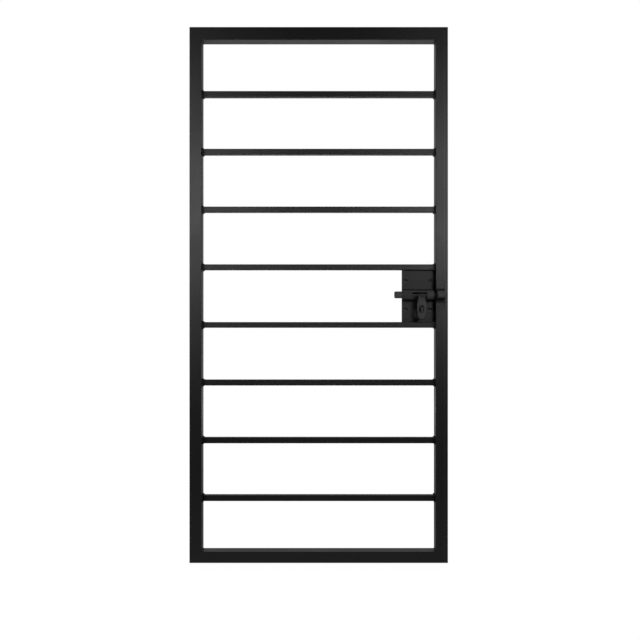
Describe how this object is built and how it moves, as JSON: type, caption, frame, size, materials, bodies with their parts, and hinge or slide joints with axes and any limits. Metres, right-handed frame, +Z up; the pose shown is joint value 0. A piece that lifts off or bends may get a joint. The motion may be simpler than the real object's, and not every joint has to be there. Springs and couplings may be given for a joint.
{
  "type": "steel security screen door",
  "caption": "Barred steel security screen door leaf: mitred tube frame, horizontal square bars and a slide-bolt lock with a hinged padlock hasp.",
  "frame": {"origin": "on the outer face of the hinge stile, at its foot and at mid-depth", "axes": "+Z up along the stile, +X from the hinge stile to the lock stile, -Y out of the lock side (front)"},
  "size_m": [0.98, 0.0885, 2.032],
  "materials": {
    "frame_paint": "satin",
    "lock_paint": "satin",
    "bolt_paint": "satin"
  },
  "bodies": {
    "door": {"hinge_stile": "frame_paint", "lock_stile": "frame_paint", "top_rail": "frame_paint", "bottom_rail": "frame_paint", "crossbar_1": "frame_paint", "crossbar_2": "frame_paint", "crossbar_3": "frame_paint", "crossbar_4": "frame_paint", "crossbar_5": "frame_paint", "crossbar_6": "frame_paint", "crossbar_7": "frame_paint", "crossbar_8": "frame_paint", "mounting_plate": "lock_paint", "lock_plate": "lock_paint", "bolt_barrel": "lock_paint", "barrel_foot_left": "lock_paint", "barrel_foot_right": "lock_paint", "keeper_strap": "lock_paint", "padlock_staple": "lock_paint"},
    "bolt": {"slide_bolt": "bolt_paint", "hasp_tang": "bolt_paint", "hasp_pin": "bolt_paint"},
    "hasp": {"hasp": "bolt_paint"}
  },
  "joints": [
    {"name": "bolt_slide", "type": "slide", "parent": "door", "child": "bolt", "axis": [1, 0, 0], "range_m": [-0.028, 0.018]},
    {"name": "hasp_swing", "type": "hinge", "parent": "bolt", "child": "hasp", "pos_m": [0.874, -0.06125, 1.0145], "axis": [-1, 0, 0], "range_deg": [0, 110]}
  ]
}
